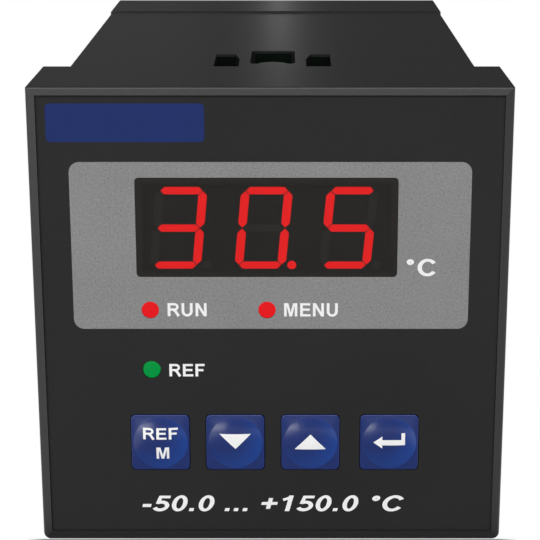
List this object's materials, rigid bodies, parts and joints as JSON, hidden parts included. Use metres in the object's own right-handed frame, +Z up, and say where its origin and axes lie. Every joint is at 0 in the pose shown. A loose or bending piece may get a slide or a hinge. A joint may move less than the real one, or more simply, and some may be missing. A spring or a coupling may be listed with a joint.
{
  "type": "on-off temperature controller",
  "caption": "Square panel-mounted temperature controller with a dark bezel, red digit display, indicator lamps, blue push keys, a long sleeve and rear screw terminals.",
  "frame": {"origin": "centre of the bezel's rear plane, on the sleeve's axis, where the instrument seats on its panel", "axes": "+X right seen from the front, +Y back along the sleeve, +Z up"},
  "size_m": [0.048, 0.0842, 0.048],
  "materials": {
    "case_plastic": "fine satin moulding",
    "gasket_rubber": "matte",
    "front_sheet": "satin film",
    "smoked_pane": "smoked, clear",
    "display_body": "matte",
    "lit_red": "lit",
    "dark_segment": "unlit",
    "red_lens": "smooth",
    "green_lens": "smooth",
    "key_blue": "smooth",
    "plunger_plastic": "matte",
    "black_plastic": "matte",
    "board_laminate": "satin solder mask",
    "core_steel": "rolled steel sheets",
    "coil_copper": "wound",
    "relay_plastic": "smooth",
    "capacitor_can": "sleeved can",
    "terminal_plastic": "matte",
    "clamp_brass": "plain",
    "screw_steel": "plated"
  },
  "bodies": {
    "case": {"bridge_rectifier": "black_plastic", "display_board": "board_laminate", "display_window": "smoked_pane", "down_switch": "black_plastic", "enter_switch": "black_plastic", "front_overlay": "front_sheet", "housing": "case_plastic", "input_amplifier": "black_plastic", "led_display": "display_body", "lit_segments": "lit_red", "logic_board": "board_laminate", "logic_header": "black_plastic", "microcontroller": "black_plastic", "out_lamp": "red_lens", "output_relay": "relay_plastic", "panel_gasket": "gasket_rubber", "power_board": "board_laminate", "power_header": "black_plastic", "power_terminals": "terminal_plastic", "prog_lamp": "red_lens", "rear_cover": "case_plastic", "set_lamp": "green_lens", "set_switch": "black_plastic", "signal_terminals": "terminal_plastic", "smoothing_capacitor": "capacitor_can", "terminal_clamps": "clamp_brass", "terminal_screws": "screw_steel", "transformer_coil": "coil_copper", "transformer_core": "core_steel", "unlit_segments": "dark_segment", "up_switch": "black_plastic", "voltage_regulator": "black_plastic"},
    "key_set": {"set_key": "key_blue", "set_plunger": "plunger_plastic"},
    "key_down": {"down_key": "key_blue", "down_plunger": "plunger_plastic"},
    "key_up": {"up_key": "key_blue", "up_plunger": "plunger_plastic"},
    "key_enter": {"enter_key": "key_blue", "enter_plunger": "plunger_plastic"}
  },
  "joints": [
    {"name": "set_key_press", "type": "slide", "parent": "case", "child": "key_set", "axis": [0, 1, 0], "range_m": [0, 0.0005], "stiffness_N_per_m": 1500, "springref_m": -0.0004},
    {"name": "down_key_press", "type": "slide", "parent": "case", "child": "key_down", "axis": [0, 1, 0], "range_m": [0, 0.0005], "stiffness_N_per_m": 1500, "springref_m": -0.0004},
    {"name": "up_key_press", "type": "slide", "parent": "case", "child": "key_up", "axis": [0, 1, 0], "range_m": [0, 0.0005], "stiffness_N_per_m": 1500, "springref_m": -0.0004},
    {"name": "enter_key_press", "type": "slide", "parent": "case", "child": "key_enter", "axis": [0, 1, 0], "range_m": [0, 0.0005], "stiffness_N_per_m": 1500, "springref_m": -0.0004}
  ]
}
